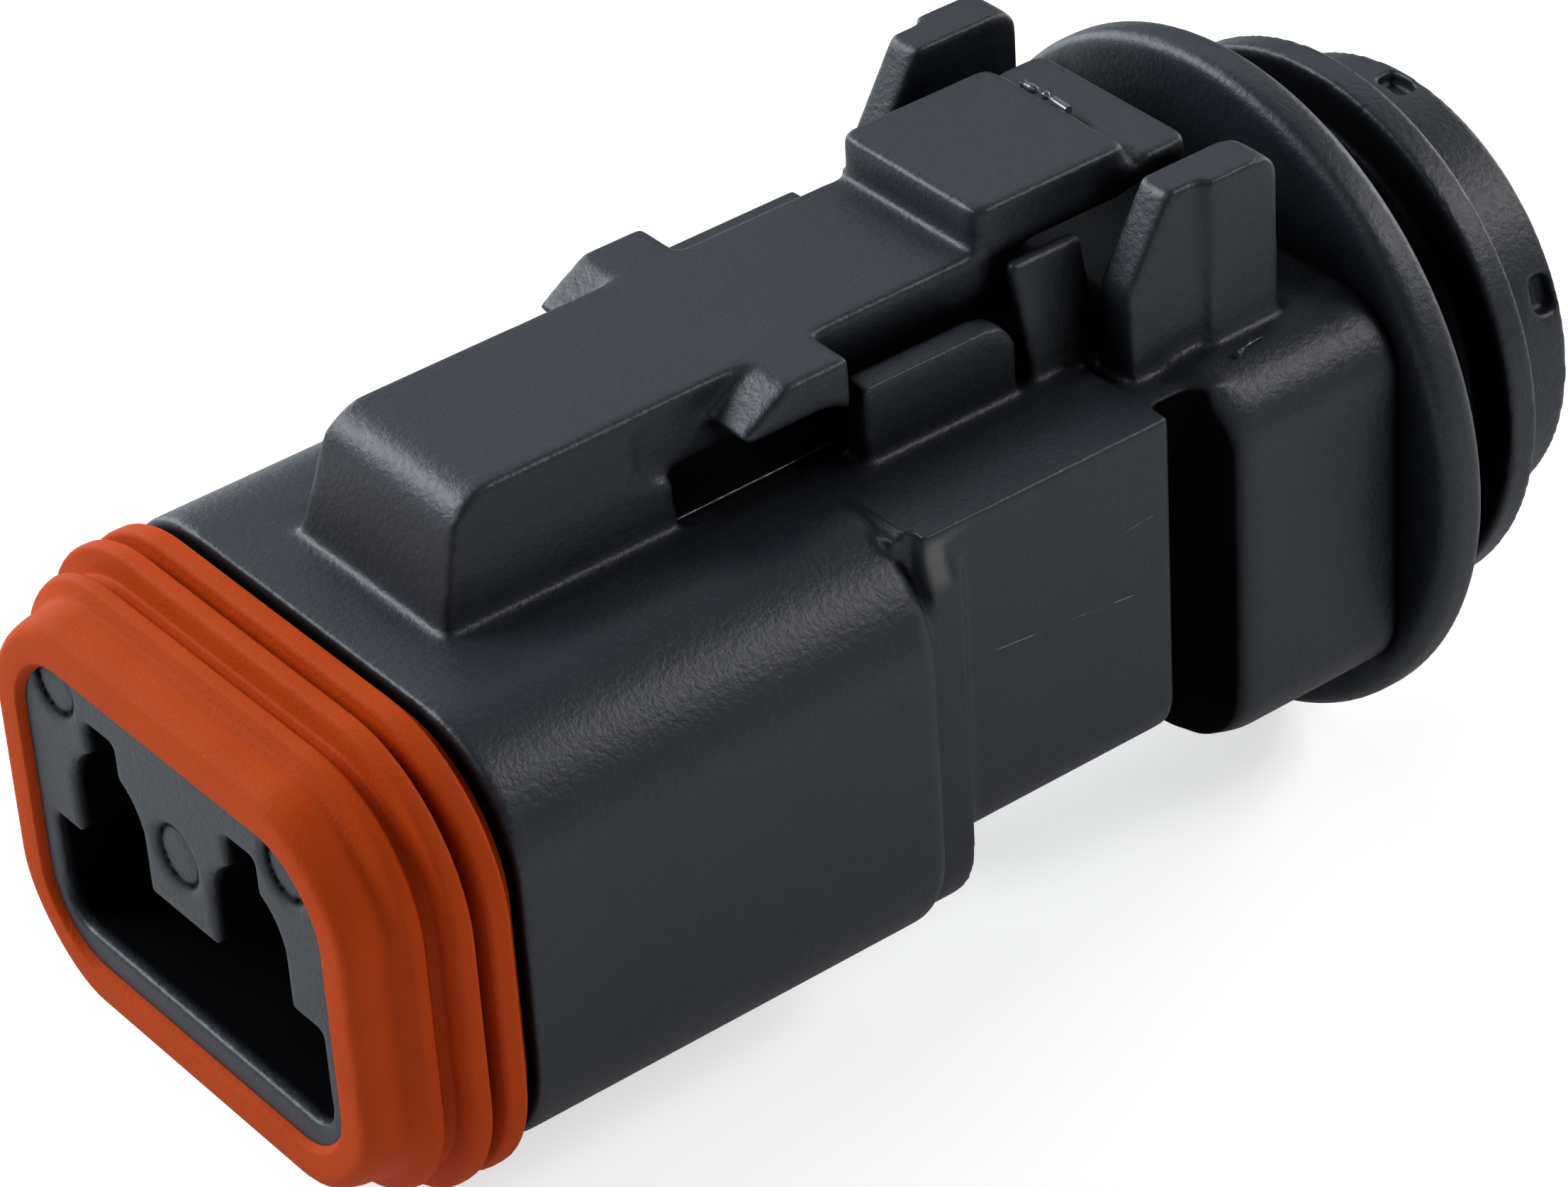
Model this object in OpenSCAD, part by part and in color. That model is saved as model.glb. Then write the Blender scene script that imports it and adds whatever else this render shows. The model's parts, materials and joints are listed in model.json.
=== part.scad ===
// Two-way sealed connector plug. A moulded housing carries a press-down latch lever on top,
// a ribbed seal round its nose and a wire seal in its back. A round end cap snaps on behind.
// The nose points along -Y, the wires leave along +Y and the latch is on top, along +Z.
// Inside this file y is counted from the nose face and z from the contact plane; place()
// moves the finished pieces so that the origin lies under the middle of the plug.

/* [Nose] */
// Width of the nose that the interface seal sits on
nose_w = 13.1; // [12.6:0.1:14.2]
// Height of the nose
nose_h = 9.2; // [8.8:0.1:10.2]
// Radius of the nose's long edges
nose_corner_r = 2.1; // [1.2:0.1:3]
// Distance of the nose's middle below the contact plane
nose_drop = 0.7; // [0.4:0.05:0.9]
// Length of the nose in front of the housing's shoulder
nose_l = 4.3; // [3.9:0.1:6]

/* [Front body] */
// Width of the housing behind the seal
body_w = 16.5; // [15.6:0.1:19]
// Height of the housing behind the seal
body_h = 12.3; // [11.9:0.1:14]
// Radius of its long edges
body_corner_r = 3.4; // [2.4:0.1:4.4]
// Distance of its middle below the contact plane
body_drop = 0.55; // [0.3:0.05:0.8]
// Length from the seal's shoulder to the step
body_l = 12.65; // [12:0.05:15]
// Rounding of its rear rim
body_rim_r = 0.5; // [0.2:0.05:0.9]
// Width of the shallow channel in its top, under the lever
channel_w = 6.4; // [5.8:0.1:6.8]
// Depth of that channel
channel_depth = 0.15; // [0.1:0.05:0.3]
// Length of the channel, up to the rear rim
channel_l = 8.4; // [6:0.1:9]

/* [Step behind the front body] */
// Width of the thin groove behind the rear rim
step_gap = 0.2; // [0.1:0.05:0.4]
// Depth of that groove, from the middle section's sides
step_gap_depth = 0.6; // [0.3:0.05:1]
// Width of the collar behind the groove
collar_w = 15.4; // [15.2:0.1:18.4]
// Length of the collar
collar_l = 1; // [0.6:0.05:1.5]
// Distance of the collar's underside below the contact plane
collar_bottom = 6.5; // [5.4:0.1:7.3]
// Radius of the collar's lower edges
collar_corner_r = 2.6; // [2:0.1:4]
// Width of the flats on the collar's upper corners
collar_flat_w = 0.5; // [0.4:0.05:1]
// Height of those flats
collar_flat_h = 1.45; // [0.8:0.05:2]

/* [Middle section] */
// Width of the middle section
mid_w = 14.9; // [14:0.1:15.4]
// Length of the middle section, groove and collar included
mid_l = 8.45; // [8:0.05:10]
// Distance of its underside below the contact plane
mid_bottom = 4.3; // [3.9:0.1:5]
// Radius of its lower edges
mid_corner_r = 1.5; // [0.8:0.1:2.2]
// Length of the groove at its rear end
waist_l = 0.45; // [0.2:0.05:0.8]
// Depth of that groove
waist_depth = 0.45; // [0.2:0.05:0.8]

/* [Rear section] */
// Width of the rear section
rear_w = 15.6; // [15.2:0.1:17]
// Length of the rear section, up to the end cap
rear_l = 6.95; // [6.4:0.05:8]
// Distance of its underside below the contact plane
rear_bottom = 5.8; // [5.5:0.1:6.6]
// Radius of its long edges
rear_corner_r = 2.1; // [1.7:0.1:3]
// Rounding of its front rim
rear_rim_r = 1.9; // [1:0.1:2.2]

/* [Contact cavities] */
// Distance between the two contact cavities
pitch = 6; // [5.6:0.1:6.4]
// Radius of a contact cavity
cavity_r = 1.55; // [1.3:0.05:1.7]
// Height of the cavities' axes above the contact plane
cavity_rise = 0.3; // [0.1:0.05:0.4]
// Width of the key slot above each cavity
key_w = 1.3; // [0.8:0.1:1.8]
// Height of the key slot above the cavity's axis
key_h = 2.4; // [2:0.1:2.6]
// Depth of the key slots behind the nose face
key_depth = 6; // [3:0.5:10]
// Radius of the round ejector marks in the nose face
mark_r = 0.8; // [0.5:0.05:0.9]
// Depth of the ejector marks
mark_depth = 0.12; // [0.05:0.01:0.2]

/* [Wedge slot] */
// Width of the slot for the wedge lock, under the cavities
slot_w = 11.6; // [10.8:0.1:11.8]
// Height of the wedge slot
slot_h = 3.2; // [2.8:0.05:3.3]
// Distance of the slot's floor below the contact plane
slot_bottom = 4.35; // [4.2:0.05:4.5]
// Radius of the slot's lower corners
slot_corner_r = 0.9; // [0.4:0.1:1.4]
// Depth of the slot behind the nose face
slot_depth = 14; // [12:0.5:16]
// Width of the locking finger under each cavity
finger_w = 2.2; // [1.4:0.1:2.6]
// Thickness of a locking finger
finger_t = 0.8; // [0.5:0.05:1]
// Length of a locking finger
finger_l = 9; // [6:0.5:10]

/* [Interface seal] */
// Radius of the seal's long edges, at its root
seal_corner_r = 2.2; // [1.8:0.1:3.2]
// Height of the two rear ribs above the nose
seal_rib_h = 2.05; // [1.9:0.05:2.3]
// Height of the rounded front lip above the nose
seal_lip_h = 1; // [0.8:0.05:1.3]
// Overhang of the lip in front of the nose face
seal_lip_front = 0.2; // [0.1:0.05:0.4]
// Height of the seal between its ribs
seal_root_h = 1.4; // [1.1:0.05:1.65]
// Tip radius of a rib
seal_rib_r = 0.38; // [0.3:0.02:0.44]
// Distance from one rib to the next
seal_rib_step = 0.95; // [0.9:0.01:1.1]
// Distance of the rearmost rib in front of the shoulder
seal_rib_back = 0.93; // [0.8:0.01:1.1]

/* [Wire seal] */
// Width of the pocket in the back of the housing
pocket_w = 12.8; // [12:0.1:13]
// Height of the pocket
pocket_h = 8.6; // [8:0.1:8.8]
// Radius of the pocket's long edges
pocket_corner_r = 3; // [2:0.1:3.6]
// Depth of the pocket
pocket_depth = 5.6; // [5:0.1:6]
// Length of the wire seal
wire_seal_l = 2.9; // [2.4:0.1:3.4]
// Radius of the two wire holes
wire_hole_r = 1.1; // [0.8:0.05:1.3]
// Height of the two ribs round the wire seal
wire_rib_h = 0.25; // [0.15:0.05:0.4]
// Radius of the raised rim round each wire hole
wire_rim_r = 1.6; // [1.4:0.05:1.7]
// Height of that rim
wire_rim_h = 0.3; // [0.1:0.05:0.4]

/* [Latch root] */
// Distance of the root's foot behind the front body's shoulder
root_back = 1.95; // [1.2:0.05:3]
// Height of the latch above the housing's top
latch_h = 3.35; // [3:0.05:3.8]
// Width of the latch beam
latch_w = 5.3; // [4.4:0.1:6]
// How far the root flares out on each side at its foot
root_flare = 0.45; // [0.2:0.05:0.7]
// Lean of the root's front face, over its whole height
root_lean = 0.6; // [0.3:0.05:1]
// Radius of the root's upper front edge
root_top_r = 1.4; // [0.8:0.1:2]

/* [Latch lever] */
// Thickness of the latch beam
beam_t = 2; // [1.6:0.05:2.2]
// Distance from the foot of the root to the line where the lever bends
hinge_back = 6.95; // [6:0.05:8]
// Running clearance of the lever's rounded end in the root
hinge_gap = 0.06; // [0.03:0.01:0.1]
// Distance from the bend line to the front edge of the thumb pad
beam_l = 9.7; // [9.2:0.1:10.2]
// Distance from the bend line to the foot of each hook's ramp
hook_back = 1.2; // [0.8:0.1:1.6]
// Length of a hook
hook_l = 3.35; // [2.6:0.05:3.5]
// How far each hook stands out from the beam
hook_w = 1.54; // [1:0.02:1.7]
// Thickness of a hook
hook_t = 1.15; // [0.8:0.05:1.3]
// How far its catch at the back hangs below it
hook_dip = 0.35; // [0.2:0.05:0.5]
// Length of a hook's sloping front
hook_ramp_l = 1.5; // [1:0.1:1.8]
// Length of the thumb pad
pad_l = 5; // [4:0.1:5.2]
// Width of the thumb pad
pad_w = 5.4; // [4.4:0.1:5.6]
// Height of the pad above the beam
pad_h = 1.2; // [0.9:0.05:1.5]
// Thickness of the thumb pad
pad_t = 1.5; // [1.3:0.05:1.8]
// Radius of the pad's corners, seen from above
pad_corner_r = 0.35; // [0.3:0.05:1]
// Length of the tab behind the pad
tab_l = 1.8; // [1.2:0.1:2.2]
// Width of the tab
tab_w = 5.8; // [5:0.1:6.2]
// Thickness of the tab
tab_t = 0.8; // [0.6:0.05:1]
// Distance of the tab's top below the pad's top
tab_drop = 0.45; // [0.3:0.05:0.7]

/* [Side fins] */
// Gap between the lever and the fins beside it
fin_gap = 0.65; // [0.5:0.05:0.8]
// Thickness of a fin
fin_t = 0.8; // [0.6:0.05:1]
// Length of a fin
fin_l = 4.8; // [3.5:0.1:5]
// Height of a fin above the housing's top
fin_h = 2.2; // [1.8:0.05:2.8]
// Radius of the fin's rear upper corner
fin_r = 0.9; // [0.5:0.05:1.2]
// Distance of the fins' rear ends in front of the rear section
fin_front = 2.5; // [2.3:0.05:3]

/* [Guards] */
// Inner distance between the two guards beside the pad
guard_inner_w = 8.56; // [8.2:0.04:9]
// Thickness of a guard's front post
guard_post_t = 1.17; // [0.9:0.05:1.3]
// Thickness of a guard's rear block
guard_block_t = 1.42; // [1.3:0.02:1.6]
// Height of the guards above the housing's top
guard_h = 4.7; // [4:0.1:5]
// Length of a guard's front post
guard_post_l = 2.45; // [2:0.05:3]
// Length of a guard's rear block
guard_block_l = 2.3; // [1.8:0.05:3]
// Length of the sloping front of a post
guard_slope_l = 1.4; // [1:0.1:1.6]
// Height of the upright part under the slope
guard_upright_h = 2.35; // [1.8:0.05:3]
// Radius of the block's rear upper corner
guard_r = 0.7; // [0.4:0.05:1]
// Thickness of the leaning wall in front of each guard
wall_t = 0.45; // [0.3:0.05:0.6]
// Length of that wall in front of the guard
wall_l = 2; // [1.2:0.1:2.2]
// Height of the wall above the housing's top
wall_h = 3.1; // [2:0.1:3.4]
// How far the wall leans inwards over its height
wall_lean = 0.75; // [0.4:0.05:0.8]

/* [End cap] */
// Radius of the large flange against the housing
flange_r = 9.6; // [9.2:0.1:11]
// Thickness of the large flange
flange_t = 1.33; // [1.2:0.01:2]
// Rounding of the large flange's edges
flange_edge_r = 0.45; // [0.2:0.05:0.55]
// Radius of the neck between flange and ring
neck_r = 6.4; // [6:0.1:6.5]
// Length of the neck
neck_l = 2.52; // [2:0.02:4]
// Radius of the ring behind the neck
ring_r = 7.85; // [7.4:0.05:8.6]
// Thickness of that ring
ring_t = 0.95; // [0.7:0.05:1.4]
// Radius of the spout at the very back
spout_r = 6.5; // [6.3:0.05:7]
// Length of the spout
spout_l = 2.4; // [2:0.1:4]
// Radius of the wire outlet through the cap
outlet_r = 4.9; // [4.6:0.05:5.1]
// Width of the window for the wires in the spigot
window_w = 9.6; // [8.8:0.1:9.8]
// Height of that window
window_h = 6.2; // [5:0.1:6.4]
// Radius of the window's corners
window_corner_r = 2.6; // [1.5:0.1:2.8]
// Width of the small recesses in the outside of the spout
recess_w = 1; // [0.6:0.1:1.4]
// Length of a recess, along the spout
recess_l = 0.65; // [0.4:0.05:0.9]
// Depth of a recess
recess_depth = 0.4; // [0.2:0.05:0.6]
// Distance of a recess from the spout's end
recess_back = 0.2; // [0.1:0.05:0.4]
// Length of the spigot that enters the housing's pocket
spigot_l = 2.1; // [1.8:0.1:2.15]
// Clearance of the spigot in the pocket
spigot_gap = 0.05; // [0.03:0.01:0.1]

/* [Hidden] */
$fn = 48;

plastic_black = [0.15, 0.16, 0.175];
silicone_orange = [0.80, 0.32, 0.12];

// Stations along the plug, from the nose face backwards
body_front = nose_l;
body_back = body_front + body_l;
collar_front = body_back + step_gap;
rear_front = body_back + mid_l;
rear_back = rear_front + rear_l;
neck_front = rear_back + flange_t;
ring_front = neck_front + neck_l;
spout_front = ring_front + ring_t;
plug_back = spout_front + spout_l;
pocket_front = rear_back - pocket_depth;

// Heights above the contact plane
top_z = body_h / 2 - body_drop;
body_bottom_z = -body_h / 2 - body_drop;
pocket_z = (top_z - rear_bottom) / 2;
latch_top_z = top_z + latch_h;
beam_bottom_z = latch_top_z - beam_t;
pad_top_z = latch_top_z + pad_h;

// The lever's bend line
root_front = body_front + root_back;
hinge_y = root_front + hinge_back;
hinge_z = latch_top_z - beam_t / 2;
pad_front = hinge_y + beam_l;
pad_back = pad_front + pad_l;

small_step = 0.3;          // how far a cut runs past the face that it opens
recess_angles = [22, 86, 158, 270];

// Moves a finished piece into the plug's frame
module place()
    translate([0, -(plug_back - seal_lip_front) / 2, flange_r])
        children();

// Runs a flat shape in x and z from y = from to y = to
module along_y(from, to)
    translate([0, to, 0])
        rotate([90, 0, 0])
            linear_extrude(to - from)
                children();

// Runs a flat shape in y and z from x = from to x = to
module along_x(from, to)
    translate([from, 0, 0])
        rotate([90, 0, 90])
            linear_extrude(to - from)
                children();

// Both sides of the plug
module mirrored() {
    children();
    mirror([1, 0, 0])
        children();
}

// Rectangle with round corners, centred
module round_rect(w, h, r) {
    square([w - 2 * r, h], center = true);
    square([w, h - 2 * r], center = true);
    for (x = [-1, 1], z = [-1, 1])
        translate([x * (w / 2 - r), z * (h / 2 - r)])
            circle(r);
}

// Rectangle from -low to high with square upper corners and round lower ones
module tub_shape(w, low, high, r) {
    translate([-w / 2, r - low])
        square([w, high + low - r]);
    translate([r - w / 2, -low])
        square([w - 2 * r, r]);
    for (x = [-1, 1])
        translate([x * (w / 2 - r), r - low])
            circle(r);
}

// Sweeps a flat section round a rectangle with round corners. The section's x is the
// distance out from the corner's centre and its y runs along the plug.
module swept_round(w, h, corner_r, from, to) {
    core_w = w - 2 * corner_r;
    core_h = h - 2 * corner_r;
    for (turn = [0 : 3])
        rotate([0, turn * 90, 0]) {
            long = turn % 2 == 0 ? core_h : core_w;
            out = turn % 2 == 0 ? core_w : core_h;
            translate([out / 2, 0, -long / 2])
                linear_extrude(long)
                    children();
            translate([out / 2, 0, -long / 2])
                rotate([-90, 0, 0])
                    rotate_extrude(angle = 90)
                        children();
        }
    translate([0, (from + to) / 2, 0])
        cube([core_w, to - from, core_h], center = true);
}

// The housing's outer blocks: nose, front body, collar, middle and rear section
module nose_block()
    translate([0, 0, -nose_drop])
        along_y(0, body_front + small_step)
            round_rect(nose_w, nose_h, nose_corner_r);

module front_body()
    difference() {
        translate([0, 0, -body_drop])
            swept_round(body_w, body_h, body_corner_r, body_front, body_back)
                rim_section(body_corner_r, body_front, body_back, 0, body_rim_r);
        along_y(body_back - channel_l, body_back + small_step)
            translate([-channel_w / 2, top_z - channel_depth])
                square([channel_w, channel_depth + small_step]);
    }

// Section of a block with rounded front and rear rims
module rim_section(r, from, to, front_r, back_r)
    intersection() {
        translate([0, from])
            square([r, to - from]);
        union() {
            translate([0, from])
                square([r - max(front_r, back_r), to - from]);
            translate([0, from + front_r])
                square([r, to - from - front_r - back_r]);
            if (front_r > 0)
                translate([r - front_r, from + front_r])
                    circle(front_r);
            if (back_r > 0)
                translate([r - back_r, to - back_r])
                    circle(back_r);
        }
    }

module middle_section() {
    along_y(body_back - small_step, collar_front + small_step)
        tub_shape(mid_w - 2 * step_gap_depth, mid_bottom, top_z - step_gap, mid_corner_r);
    along_y(collar_front, collar_front + collar_l)
        collar_shape();
    along_y(collar_front, rear_front - waist_l)
        tub_shape(mid_w, mid_bottom, top_z, mid_corner_r);
    along_y(rear_front - waist_l - small_step, rear_front + rear_rim_r)
        tub_shape(mid_w - 2 * waist_depth, mid_bottom - waist_depth, top_z - waist_depth / 2, mid_corner_r);
}

// The collar's outline: round below, with a flat across each upper corner
module collar_shape()
    intersection() {
        tub_shape(collar_w, collar_bottom, top_z, collar_corner_r);
        polygon([
            [-collar_w / 2, -collar_bottom],
            [collar_w / 2, -collar_bottom],
            [collar_w / 2, top_z - collar_flat_h],
            [collar_w / 2 - collar_flat_w, top_z],
            [collar_flat_w - collar_w / 2, top_z],
            [-collar_w / 2, top_z - collar_flat_h]
        ]);
    }

module rear_section()
    translate([0, 0, pocket_z])
        swept_round(rear_w, top_z + rear_bottom, rear_corner_r, rear_front, rear_back)
            rim_section(rear_corner_r, rear_front, rear_back, rear_rim_r, 0);

// The fixed root of the latch, cut back round the lever's rounded end
module latch_root()
    difference() {
        intersection() {
            along_x(-latch_w / 2 - root_flare, latch_w / 2 + root_flare)
                root_profile();
            along_y(root_front, hinge_y)
                polygon([
                    [-latch_w / 2 - root_flare, top_z - small_step],
                    [latch_w / 2 + root_flare, top_z - small_step],
                    [latch_w / 2, latch_top_z],
                    [-latch_w / 2, latch_top_z]
                ]);
        }
        translate([0, hinge_y, hinge_z])
            rotate([0, 90, 0])
                cylinder(r = beam_t / 2 + hinge_gap, h = body_w, center = true);
    }

// Side view of the root: a leaning front face and a round upper edge
module root_profile() {
    lean_angle = atan(root_lean / latch_h);
    round_y = root_front + root_lean + root_top_r * cos(lean_angle);
    polygon([
        [root_front, top_z - small_step],
        [hinge_y, top_z - small_step],
        [hinge_y, latch_top_z],
        [round_y, latch_top_z],
        [round_y - root_top_r * cos(lean_angle), latch_top_z - root_top_r * (1 - sin(lean_angle))],
        [root_front, top_z]
    ]);
    translate([round_y, latch_top_z - root_top_r])
        circle(root_top_r);
}

// A thin fin beside the lever, behind each hook
module side_fin() {
    inner = latch_w / 2 + fin_gap;
    back = rear_front - fin_front;
    along_x(inner, inner + fin_t) {
        translate([back - fin_l, top_z - small_step])
            square([fin_l, fin_h + small_step - fin_r]);
        translate([back - fin_l, top_z])
            square([fin_l - fin_r, fin_h]);
        translate([back - fin_r, top_z + fin_h - fin_r])
            circle(fin_r);
    }
}

// The guard beside the thumb pad: leaning wall, sloping post and block
module guard() {
    inner = guard_inner_w / 2;
    post_back = rear_front + guard_post_l;
    block_back = post_back + guard_block_l;
    foot_z = top_z - rear_rim_r;
    along_x(inner, inner + guard_post_t)
        polygon([
            [rear_front, foot_z],
            [post_back, foot_z],
            [post_back, top_z + guard_h],
            [rear_front + guard_slope_l, top_z + guard_h],
            [rear_front, top_z + guard_upright_h]
        ]);
    along_x(inner, inner + guard_block_t) {
        translate([post_back, foot_z])
            square([guard_block_l, guard_h - guard_r + top_z - foot_z]);
        translate([post_back, top_z])
            square([guard_block_l - guard_r, guard_h]);
        translate([block_back - guard_r, top_z + guard_h - guard_r])
            circle(guard_r);
    }
    along_y(rear_front - wall_l, rear_front + small_step)
        polygon([
            [inner - small_step / 2 - wall_t, top_z - small_step],
            [inner - small_step / 2, top_z - small_step],
            [inner - small_step / 2 - wall_lean, top_z + wall_h],
            [inner - small_step / 2 - wall_lean - wall_t, top_z + wall_h]
        ]);
}

// Opening of one contact cavity in the nose face, down to the wedge slot
module keyhole_shape() {
    circle(cavity_r);
    translate([-cavity_r, -cavity_rise - slot_bottom + slot_h - small_step])
        square([2 * cavity_r, cavity_rise + slot_bottom - slot_h + small_step]);
}

module contact_cavity()
    translate([pitch / 2, 0, cavity_rise]) {
        along_y(-small_step, slot_depth)
            keyhole_shape();
        along_y(-small_step, key_depth)
            translate([-key_w / 2, 0])
                square([key_w, key_h]);
        translate([0, -small_step, 0])
            rotate([-90, 0, 0])
                cylinder(r = cavity_r, h = pocket_front + 2 * small_step);
    }

module wedge_slot()
    along_y(-small_step, slot_depth)
        tub_shape(slot_w, slot_bottom, slot_h - slot_bottom, slot_corner_r);

module locking_finger()
    translate([(pitch - finger_w) / 2, slot_depth - finger_l, cavity_rise - cavity_r - finger_t])
        cube([finger_w, finger_l + small_step, finger_t]);

module ejector_mark(x, z)
    translate([x, mark_depth, z])
        rotate([90, 0, 0])
            cylinder(r = mark_r, h = mark_depth + small_step);

module seal_pocket()
    translate([0, 0, pocket_z])
        along_y(pocket_front, rear_back + small_step)
            round_rect(pocket_w, pocket_h, pocket_corner_r);

// The black housing, one moulding apart from its lever
module plug_housing()
    color(plastic_black) {
        difference() {
            union() {
                nose_block();
                front_body();
                middle_section();
                rear_section();
                latch_root();
                mirrored() {
                    side_fin();
                    guard();
                }
            }
            mirrored() {
                contact_cavity();
                ejector_mark(nose_w / 2 - 2 * mark_r, nose_h / 2 - nose_drop - mark_r);
            }
            ejector_mark(0, cavity_rise + mark_r / 2);
            wedge_slot();
            seal_pocket();
        }
        mirrored()
            locking_finger();
    }

// Side view of a hook: sloping ramp, flat top and a catch that hangs down at the back
module hook_profile() {
    front = hinge_y + hook_back;
    back = front + hook_l;
    polygon([
        [front, latch_top_z - hook_t * 0.8],
        [front + hook_t * 0.2, latch_top_z - hook_t],
        [back - hook_t * 0.7, latch_top_z - hook_t],
        [back, latch_top_z - hook_t - hook_dip],
        [back, latch_top_z],
        [front + hook_ramp_l, latch_top_z]
    ]);
}

// The lever: rounded bend end, beam, two hooks, thumb pad and a thin tab behind it
module latch_lever()
    color(plastic_black) {
        translate([0, hinge_y, hinge_z])
            rotate([0, 90, 0])
                cylinder(r = beam_t / 2, h = latch_w, center = true);
        along_x(-latch_w / 2, latch_w / 2)
            translate([hinge_y, beam_bottom_z])
                square([beam_l + pad_t, beam_t]);
        mirrored()
            along_x(latch_w / 2 - small_step, latch_w / 2 + hook_w)
                hook_profile();
        translate([0, (pad_front + pad_back) / 2, pad_top_z - pad_t])
            linear_extrude(pad_t)
                round_rect(pad_w, pad_l, pad_corner_r);
        translate([0, pad_back + tab_l / 2 - pad_corner_r, pad_top_z - tab_drop - tab_t])
            linear_extrude(tab_t)
                round_rect(tab_w, tab_l + 2 * pad_corner_r, pad_corner_r);
    }

// Section of the interface seal: rounded lip, sloping band and three ribs
module seal_section() {
    inner = seal_corner_r;
    lip_r = seal_lip_h / 3;
    lip_back = lip_r - seal_lip_front;
    last_rib = body_front - seal_rib_back;
    first_rib = last_rib - 2 * seal_rib_step;
    first_h = (seal_rib_h + seal_root_h) / 2 - seal_rib_r / 2;
    polygon([
        [0, -seal_lip_front],
        [inner + seal_lip_h - lip_r, -seal_lip_front],
        [inner + seal_lip_h, lip_back],
        [inner + first_h, first_rib],
        [inner + seal_root_h, first_rib + seal_rib_r],
        [inner + seal_root_h, body_front],
        [0, body_front]
    ]);
    translate([inner + seal_lip_h - lip_r, lip_back])
        circle(lip_r);
    for (rib = [0 : 2])
        translate([inner, last_rib - rib * seal_rib_step]) {
            reach = rib == 2 ? first_h : seal_rib_h;
            translate([0, -seal_rib_r])
                square([reach - seal_rib_r, 2 * seal_rib_r]);
            translate([reach - seal_rib_r, 0])
                circle(seal_rib_r);
        }
}

// The orange seal stretched round the nose
module interface_seal()
    color(silicone_orange)
        translate([0, 0, -nose_drop])
            difference() {
                swept_round(nose_w, nose_h, seal_corner_r, -seal_lip_front, body_front)
                    seal_section();
                along_y(-1, body_front + small_step)
                    round_rect(nose_w, nose_h, nose_corner_r);
            }

// The orange grommet that the two wires pass through
module wire_seal()
    color(silicone_orange) {
        waist_w = pocket_w - 2 * wire_rib_h;
        waist_h = pocket_h - 2 * wire_rib_h;
        waist_r = pocket_corner_r - wire_rib_h;
        rib_l = wire_seal_l / 5;
        difference() {
            union() {
                translate([0, 0, pocket_z]) {
                    along_y(pocket_front, pocket_front + wire_seal_l)
                        round_rect(waist_w, waist_h, waist_r);
                    for (step = [1, 3])
                        along_y(pocket_front + step * rib_l, pocket_front + (step + 1) * rib_l)
                            round_rect(pocket_w, pocket_h, pocket_corner_r);
                }
                mirrored()
                    wire_way(wire_rim_r, wire_seal_l, wire_seal_l + wire_rim_h);
            }
            mirrored()
                wire_way(wire_hole_r, -small_step, wire_seal_l + wire_rim_h + small_step);
        }
    }

module wire_way(r, from, to)
    translate([pitch / 2, pocket_front + from, cavity_rise])
        rotate([-90, 0, 0])
            cylinder(r = r, h = to - from);

// Outline of the cap in radius and y: flange, neck, ring and spout
module cap_outline() {
    soft = flange_edge_r;
    translate([0, rear_back])
        square([flange_r - soft, flange_t]);
    translate([0, rear_back + soft])
        square([flange_r, flange_t - 2 * soft]);
    for (y = [rear_back + soft, neck_front - soft])
        translate([flange_r - soft, y])
            circle(soft);
    translate([0, rear_back + soft])
        square([neck_r, plug_back - rear_back - soft]);
    translate([0, ring_front])
        square([ring_r, ring_t]);
    translate([0, spout_front - small_step])
        square([spout_r, spout_l + small_step]);
}

// The end cap, turned about the contact axis, with a spigot that enters the housing
module end_cap()
    color(plastic_black)
        difference() {
            union() {
                rotate([-90, 0, 0])
                    rotate_extrude()
                        cap_outline();
                translate([0, 0, pocket_z])
                    along_y(rear_back - spigot_l, rear_back + small_step)
                        round_rect(pocket_w - 2 * spigot_gap, pocket_h - 2 * spigot_gap,
                                   pocket_corner_r - spigot_gap);
            }
            translate([0, rear_back, 0])
                rotate([-90, 0, 0])
                    cylinder(r = outlet_r, h = plug_back - rear_back + small_step);
            translate([0, 0, pocket_z])
                along_y(rear_back - spigot_l - small_step, rear_back + small_step)
                    round_rect(window_w, window_h, window_corner_r);
            for (angle = recess_angles)
                rotate([0, -angle, 0])
                    translate([spout_r - recess_depth, plug_back - recess_back - recess_l, -recess_w / 2])
                        cube([2 * recess_depth, recess_l, recess_w]);
        }

place() plug_housing();
place() latch_lever();
place() interface_seal();
place() wire_seal();
place() end_cap();
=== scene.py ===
import json
import math

import bmesh
import bpy
import numpy as np
from mathutils import Matrix, Vector
from mathutils.bvhtree import BVHTree


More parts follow.
